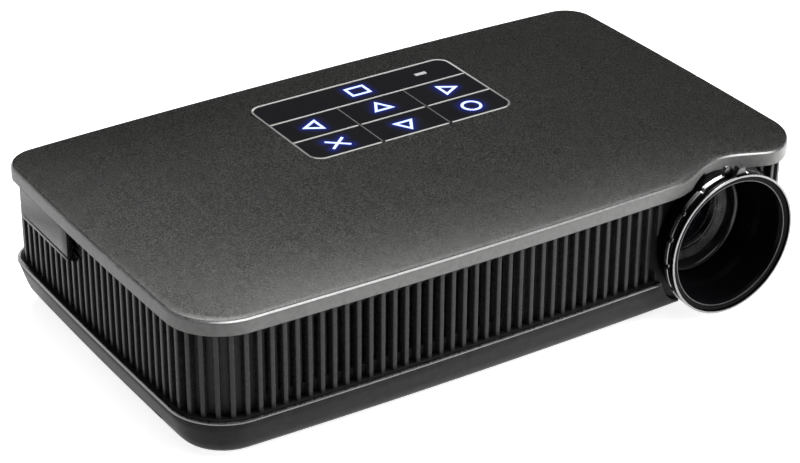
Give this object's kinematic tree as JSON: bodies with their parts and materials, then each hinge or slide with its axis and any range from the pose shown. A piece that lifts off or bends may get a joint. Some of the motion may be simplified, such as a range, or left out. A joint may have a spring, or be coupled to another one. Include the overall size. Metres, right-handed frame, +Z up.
{
  "type": "pocket projector",
  "caption": "Palm-size LED projector with a painted lid, touch panel, ribbed vent band, turning focus ring, port cover, slide-off battery door and tripod thread.",
  "frame": {"origin": "on the floor under the middle of the whole object, focus ring included", "axes": "+Z up, -Y towards the lens side, +X to the right of someone who looks along +Y"},
  "size_m": [0.12, 0.0732, 0.0277],
  "materials": {
    "lid_paint": "fine metallic speckled gunmetal paint, satin",
    "tray_plastic": "satin black moulding",
    "band_plastic": "satin black moulding with ribs",
    "cover_paint": "gunmetal paint to match the lid",
    "panel_glass": "polished black touch panel",
    "panel_trim": "thin silver-grey print",
    "key_light": "back-lit white-blue symbols",
    "status_light": "small clear light window",
    "ring_black": "polished black focus ring",
    "barrel_black": "black lens barrel",
    "mount_black": "dull black lens mount",
    "lens_glass": "coated lens glass",
    "foot_rubber": "soft black rubber",
    "insert_brass": "turned brass",
    "screw_steel": "blackened steel screws",
    "pin_steel": "polished steel",
    "board_green": "solder-masked circuit board",
    "chip_black": "moulded chip",
    "imager_window": "imager window in its ceramic frame",
    "shield_tin": "tinned sheet",
    "socket_steel": "nickel-plated shell",
    "jack_plastic": "black jack body",
    "engine_metal": "cast light alloy",
    "fin_metal": "extruded fins",
    "spreader_copper": "bare copper plate",
    "prism_glass": "prism and coated plates",
    "red_module": "light module on a ceramic plate",
    "green_module": "light module on a ceramic plate",
    "blue_module": "light module on a ceramic plate",
    "blower_plastic": "black glass-filled moulding",
    "battery_wrap": "wrapped cell pack",
    "contact_gold": "plated spring contacts",
    "cable_film": "flat flexible film",
    "filter_foam": "open dark foam",
    "speaker_black": "small speaker",
    "switch_black": "ridged slide knob"
  },
  "bodies": {
    "case": {"top_cover": "lid_paint", "touch_panel": "panel_glass", "panel_trim": "panel_trim", "key_symbols": "key_light", "status_window": "status_light", "touch_board": "board_green", "side_band": "band_plastic", "dust_filter": "filter_foam", "rear_panel": "tray_plastic", "cover_pin": "pin_steel", "bottom_tray": "tray_plastic", "rubber_feet": "foot_rubber", "battery_pack": "battery_wrap", "battery_contacts": "contact_gold", "tripod_insert": "insert_brass", "case_screws": "screw_steel", "lens_mount": "mount_black", "engine_housing": "engine_metal", "combining_prism": "prism_glass", "mirror_plates": "prism_glass", "collimator_lenses": "lens_glass", "imager_chip": "imager_window", "imager_board": "board_green", "red_light_module": "red_module", "green_light_module": "green_module", "blue_light_module": "blue_module", "heat_sink": "fin_metal", "heat_spreader": "spreader_copper", "blower_housing": "blower_plastic", "blower_shaft": "pin_steel", "main_board": "board_green", "board_screws": "pin_steel", "main_chip": "chip_black", "shield_can": "shield_tin", "flat_cable": "cable_film", "card_socket": "socket_steel", "display_socket": "socket_steel", "data_socket": "socket_steel", "power_jack": "jack_plastic", "av_jack": "jack_plastic", "switch_housing": "socket_steel", "speaker": "speaker_black"},
    "focus_ring": {"focus_ring": "ring_black"},
    "lens_barrel": {"lens_barrel": "barrel_black", "retaining_ring": "barrel_black", "front_lens": "lens_glass", "rear_lens": "lens_glass"},
    "port_cover": {"port_cover": "cover_paint"},
    "battery_door": {"battery_door": "tray_plastic"},
    "power_switch": {"power_switch": "switch_black"},
    "impeller": {"blower_impeller": "blower_plastic"}
  },
  "joints": [
    {"name": "focus_turn", "type": "hinge", "parent": "case", "child": "focus_ring", "pos_m": [0.0402, -0.035, 0.01353], "axis": [0, -1, 0], "range_deg": [-30, 30]},
    {"name": "focus_slide", "type": "slide", "parent": "case", "child": "lens_barrel", "axis": [0, -1, 0], "range_m": [-0.001, 0.001]},
    {"name": "cover_hinge", "type": "hinge", "parent": "case", "child": "port_cover", "pos_m": [-0.05782, 0.02763, 0.02085], "axis": [0, 0, -1], "range_deg": [0, 95]},
    {"name": "door_slide", "type": "slide", "parent": "case", "child": "battery_door", "axis": [-1, 0, 0], "range_m": [0, 0.062]},
    {"name": "switch_slide", "type": "slide", "parent": "case", "child": "power_switch", "axis": [1, 0, 0], "range_m": [0, 0.0024]},
    {"name": "impeller_spin", "type": "hinge", "parent": "case", "child": "impeller", "pos_m": [0.0124, 0.01542, 0.008], "axis": [0, 0, 1], "continuous": true}
  ],
  "couplings": [
    {"joint": "focus_slide", "follows": "focus_turn", "m_per_rad": 0.0019}
  ]
}
